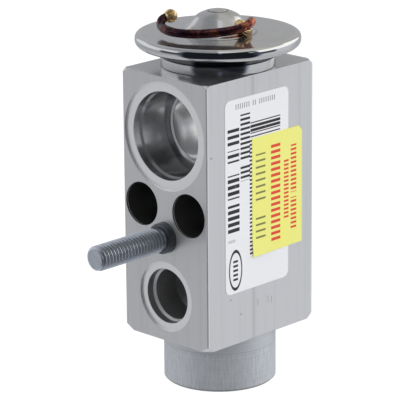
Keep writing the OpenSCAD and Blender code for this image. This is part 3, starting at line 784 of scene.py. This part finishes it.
class VALVE_OT_label(bpy.types.Operator):
    """Print the label and lay the tag over its edge"""
    bl_idname = "valve.label"
    bl_label = "Label and Tag"

    def execute(self, context):
        settings = context.scene.valve_label
        dress("white_label", label_material(settings))
        build = bmesh.new()
        width, height, across, along = 17.2, 28.7, 5.45, 47.5
        columns, lines = 64, 90
        layers = []
        for lift in (0.12, 0.0):
            rows = []
            for i in range(lines + 1):
                z = along + height * (i / lines - 0.5)
                row = []
                for k in range(columns + 1):
                    y = across + width * (k / columns - 0.5)
                    row.append((FACE_X + lift + tag_height(y, z, settings.lift / MM), y, z))
                rows.append(row)
            layers.append(add_grid(build, rows, closed_ring=False))
        for front, back in self.edges(*layers):
            build.faces.new((front[0], front[1], back[1], back[0]))
        corner = Vector((FACE_X, across + width / 2 - 1.2, along + height / 2)) * MM
        geometry = build.verts[:] + build.edges[:] + build.faces[:]
        bmesh.ops.bisect_plane(build, geom=geometry, plane_co=corner, plane_no=(0, 1, 1), clear_outer=True)
        bmesh.ops.holes_fill(build, edges=build.edges)
        add_piece("date_tag_foil", finish_mesh("date_tag_foil", build), tag_material(settings), "yellow_foil",
                  "date_tag", angle=40)
        return {"FINISHED"}

    def edges(self, front, back):
        """Pairs of matching edges round two layers."""
        last, end = len(front) - 1, len(front[0]) - 1
        for k in range(end):
            for i in (0, last):
                yield (front[i][k], front[i][k + 1]), (back[i][k], back[i][k + 1])
        for i in range(last):
            for k in (0, end):
                yield (front[i][k], front[i + 1][k]), (back[i][k], back[i + 1][k])


# ---- inner gear


class VALVE_PG_gear(bpy.types.PropertyGroup):
    bright: FloatVectorProperty(
        name="Bright Steel", description="Colour of the ball, the rods and the spring", subtype="COLOR", min=0, max=1,
        default=(0.62, 0.63, 0.65))
    brass: FloatVectorProperty(
        name="Gear Brass", description="Colour of the carrier and the adjusting screw", subtype="COLOR", min=0, max=1,
        default=(0.72, 0.54, 0.24))
    rubber: FloatVectorProperty(
        name="Rubber", description="Colour of the seal rings", subtype="COLOR", min=0, max=1,
        default=(0.022, 0.022, 0.025))


def machined_material(name, colour, roughness):
    """Turned metal with lines round the valve's axis."""
    material, s = new_material(name)
    point, x, y, z = s.place()
    lines = s.noise(s.join(s.distance(x, y) * 5, z * 5, 0), 1.0, 3)
    cloud = s.noise(point, 0.9, 3)
    dull = tuple(c * 0.72 for c in colour)
    s.surface({"Base Color": s.colour(cloud, dull, tuple(colour)), "Metallic": 1.0,
               "Roughness": roughness + (cloud - 0.5) * 0.12, "Normal": s.bump(lines, 0.008, 0.06)})
    return material


def rubber_material(settings):
    material, s = new_material("seal_rubber_black")
    point, x, y, z = s.place()
    dust = s.noise(point, 4.0, 4, 0.7)
    rubber = tuple(settings.rubber)
    colour = s.colour(s.rise(dust, 0.5, 0.8), rubber, tuple(c * 2.6 for c in rubber))
    s.surface({"Base Color": colour, "Roughness": 0.5 + dust * 0.2, "Normal": s.bump(dust, 0.01)})
    return material


class VALVE_OT_gear(bpy.types.Operator):
    """Finish the valve gear, the seals and the adjusting screw"""
    bl_idname = "valve.gear"
    bl_label = "Valve Gear"

    def execute(self, context):
        settings = context.scene.valve_gear
        steel = machined_material("bright_steel", tuple(settings.bright), 0.22)
        brass = machined_material("turned_brass", tuple(settings.brass), 0.25)
        rod = machined_material("rod_metal", (0.74, 0.745, 0.755), 0.28)
        rubber = rubber_material(settings)
        for material, nodes in (
            (steel, ("diaphragm", "seal_retainer", "push_rod", "valve_ball", "damper_clip")),
            (brass, ("ball_carrier", "adjusting_screw")),
            (rod, ("sensing_rod", "diaphragm_pad")),
            (rubber, ("head_seal", "rod_seal", "screw_seal")),
        ):
            for node in nodes:
                dress(node, material)
        self.add_spring(steel)
        return {"FINISHED"}

    def add_spring(self, steel):
        """The spring in two halves that meet at rest."""
        wire, radius, coils, steps = 0.54, 3.9, 4.5, 108
        low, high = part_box("valve_spring")
        first, last = low[2] / MM + wire, high[2] / MM - wire
        middle = (first + last) / 2
        for name, share, bodies, start, end in (
            ("valve_spring_lower", 0.0, ("screw_carriage", BODY), first + 0.8, middle - 0.8),
            ("valve_spring_upper", 0.5, (BODY, "valve_stem"), middle + 0.8, last - 0.8),
        ):
            path = []
            for i in range(steps + 1):
                along = share + 0.5 * i / steps
                turn = 2 * math.pi * coils * along
                path.append(Vector((radius * math.cos(turn), radius * math.sin(turn), first + (last - first) * along)))
            build = bmesh.new()
            swept_tube(build, path, wire, 16, 0.0)
            half = add_piece(name, finish_mesh(name, build), steel, "spring_steel", "valve_spring", body=None)
            start * MM
            end * MM
            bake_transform(half)


# ---- the studio


class VALVE_PG_studio(bpy.types.PropertyGroup):
    azimuth: FloatProperty(
        name="Azimuth", description="Direction of the camera round the valve", subtype="ANGLE",
        default=math.radians(44.421))
    elevation: FloatProperty(
        name="Elevation", description="Height angle of the camera", subtype="ANGLE", default=math.radians(16.683))
    roll: FloatProperty(
        name="Roll", description="Tilt of the camera", subtype="ANGLE", default=math.radians(-0.483))
    distance: FloatProperty(
        name="Distance", description="Distance of the camera", subtype="DISTANCE", unit="LENGTH", default=627.705 * MM)
    lens: FloatProperty(
        name="Lens", description="Focal length of the camera in millimetres", default=238.22)
    light: FloatProperty(
        name="Light", description="Strength of the soft light on dull surfaces", default=1.03)


def add_camera(context, settings):
    az, el, roll = settings.azimuth, settings.elevation, settings.roll
    back = Vector((math.sin(az) * math.cos(el), -math.cos(az) * math.cos(el), math.sin(el)))
    right = Vector((math.cos(az), math.sin(az), 0))
    up = back.cross(right)
    x_axis = math.cos(roll) * right + math.sin(roll) * up
    y_axis = math.cos(roll) * up - math.sin(roll) * right
    middle = Vector((0, 0, (BLOCK_Z + 32) * MM))
    place = middle + settings.distance * back - 4.478 * MM * x_axis - 1.279 * MM * y_axis
    data = bpy.data.cameras.new("studio_camera")
    data.lens = settings.lens
    data.sensor_width = 36
    data.clip_end = 10
    camera = bpy.data.objects.new("studio_camera", data)
    turn = Matrix((x_axis, y_axis, back)).transposed().to_4x4()
    camera.matrix_world = Matrix.Translation(place) @ turn
    context.scene.collection.objects.link(camera)
    context.scene.camera = camera


def add_world(context, settings):
    """White to the eye, a soft even light on dull surfaces, and a dim studio with bright sides in the metal."""
    world = bpy.data.worlds.new("studio")
    context.scene.world = world
    s = Shader(world)
    world.cycles.sampling_method = "NONE"
    way = s.out(s.node("ShaderNodeTexCoord"), "Generated")
    split = s.node("ShaderNodeSeparateXYZ", {}, {0: way})
    x, y, z = (s.out(split, k) for k in range(3))
    ahead = x * 0.7 - y * 0.714
    across = x * 0.714 + y * 0.7
    degrees = 180 / math.pi
    turn = s.math("ARCTAN2", across, ahead) * degrees
    height = s.math("ARCSINE", z) * degrees
    side = abs(turn)
    walls = s.blend(s.rise(turn, -30, 30), 0.46, 0.72)
    walls = s.blend(s.rise(side, 105, 150), walls, 0.48)
    walls = s.blend(s.rise(height, -12, -40), walls, 0.6)
    ceiling = s.blend(s.rise(turn, -1, 1), 0.34, s.blend(s.rise(turn, 10, 60), 0.98, 0.6))
    walls = s.blend(s.rise(height, 48, 54), walls, ceiling)
    walls = s.blend(s.rise(height, 78, 88), walls, 0.6)
    front = 1 - s.rise(side + 6 * (turn < 0), 54, 68)
    dark = front * s.rise(height, -62, -40) * (1 - s.rise(height, 47, 53))
    studio = s.blend(dark, walls, 0.016)
    boxes = s.band(side, 58, 150, 3) * s.band(height + 8 * (turn < 0), 4, 38, 3)
    studio = s.blend(boxes, studio, s.blend(turn > 0, 0.9, 1.35))
    line = s.band(side, 50, 86, 4) * s.band(height, -11, 7, 2)
    studio = s.blend(line, studio, 0.08)
    glint = s.band(turn, 0, 6, 1) * s.band(height, 30, 38, 2) + s.band(turn, 44, 52, 1) * s.band(height, 14, 30, 3)
    studio = studio + glint * 0.45
    path = s.node("ShaderNodeLightPath")
    glossy = s.out(path, "Is Glossy Ray")
    soft = s.blend(s.rise(turn, -70, 70), 0.8, 1.07) * settings.light
    level = s.blend(glossy, soft, studio)
    level = s.blend(s.out(path, "Is Camera Ray"), level, 1.0)
    cool = s.colour(dark, (0.97, 0.985, 1.02), (0.80, 0.93, 1.25))
    tint = s.colour(s.rise(turn, 30, 60) * s.rise(height, 5, 30), cool, (1.02, 1.0, 0.94))
    tint = s.colour(glossy, (1.0, 1.0, 1.0), tint)
    background = s.node("ShaderNodeBackground", {}, {"Color": tint, "Strength": level})
    s.node("ShaderNodeOutputWorld", {}, {"Surface": s.out(background)})


def add_floor(context):
    build = bmesh.new()
    bmesh.ops.create_circle(build, cap_ends=True, segments=96, radius=0.9)
    mesh = bpy.data.meshes.new("studio_floor")
    build.to_mesh(mesh)
    build.free()
    material, s = new_material("studio_white")
    path = s.node("ShaderNodeLightPath")
    dull = s.node("ShaderNodeBsdfDiffuse", {}, {"Color": (0.85, 0.85, 0.85, 1)})
    glow = s.node("ShaderNodeEmission", {}, {"Color": (1, 1, 1, 1), "Strength": 1.14})
    seen = s.node("ShaderNodeMixShader", {}, {0: 0.82, 1: s.out(dull), 2: s.out(glow)})
    either = s.node("ShaderNodeMixShader", {}, {0: s.out(path, "Is Camera Ray"), 1: s.out(dull), 2: s.out(seen)})
    s.node("ShaderNodeOutputMaterial", {}, {"Surface": s.out(either)})
    mesh.materials.append(material)
    floor = bpy.data.objects.new("studio_floor", mesh)
    floor.visible_glossy = False
    floor.location.z = -0.02 * MM
    context.scene.collection.objects.link(floor)


class VALVE_OT_studio(bpy.types.Operator):
    """Set up the floor, the light and the camera"""
    bl_idname = "valve.studio"
    bl_label = "Studio"

    def execute(self, context):
        settings = context.scene.valve_studio
        context.scene.view_settings.view_transform = "Standard"
        add_camera(context, settings)
        add_world(context, settings)
        add_floor(context)
        return {"FINISHED"}


# ---- add-on

GROUPS = {
    "valve_block": VALVE_PG_block,
    "valve_head": VALVE_PG_head,
    "valve_tube": VALVE_PG_tube,
    "valve_stud": VALVE_PG_stud,
    "valve_label": VALVE_PG_label,
    "valve_gear": VALVE_PG_gear,
    "valve_studio": VALVE_PG_studio,
}
OPERATORS = (VALVE_OT_studio, VALVE_OT_block, VALVE_OT_head, VALVE_OT_charge_tube, VALVE_OT_stud, VALVE_OT_label,
             VALVE_OT_gear)


class VALVE_PT_panel(bpy.types.Panel):
    """Sizes and colours of the valve, with one button for each piece"""
    bl_idname = "VALVE_PT_panel"
    bl_label = "Expansion Valve"
    bl_space_type = "VIEW_3D"
    bl_region_type = "UI"
    bl_category = "Valve"

    def draw(self, context):
        for operator in OPERATORS:
            self.layout.operator(operator.bl_idname)
        for name, group in GROUPS.items():
            box = self.layout.box()
            settings = getattr(context.scene, name)
            for field in group.__annotations__:
                box.prop(settings, field)


def register():
    for kind in (*GROUPS.values(), *OPERATORS, VALVE_PT_panel):
        bpy.utils.register_class(kind)
    for name, group in GROUPS.items():
        setattr(bpy.types.Scene, name, PointerProperty(type=group))


def unregister():
    for name in GROUPS:
        delattr(bpy.types.Scene, name)
    for kind in reversed((*GROUPS.values(), *OPERATORS, VALVE_PT_panel)):
        bpy.utils.unregister_class(kind)


def main():
    """Makes everything."""
    register()
    bpy.ops.valve.studio()
    bpy.ops.valve.block()
    bpy.ops.valve.head()
    bpy.ops.valve.charge_tube()
    bpy.ops.valve.stud()
    bpy.ops.valve.label()
    bpy.ops.valve.gear()
    bpy.context.view_layer.update()


if __name__ == "__main__":
    main()
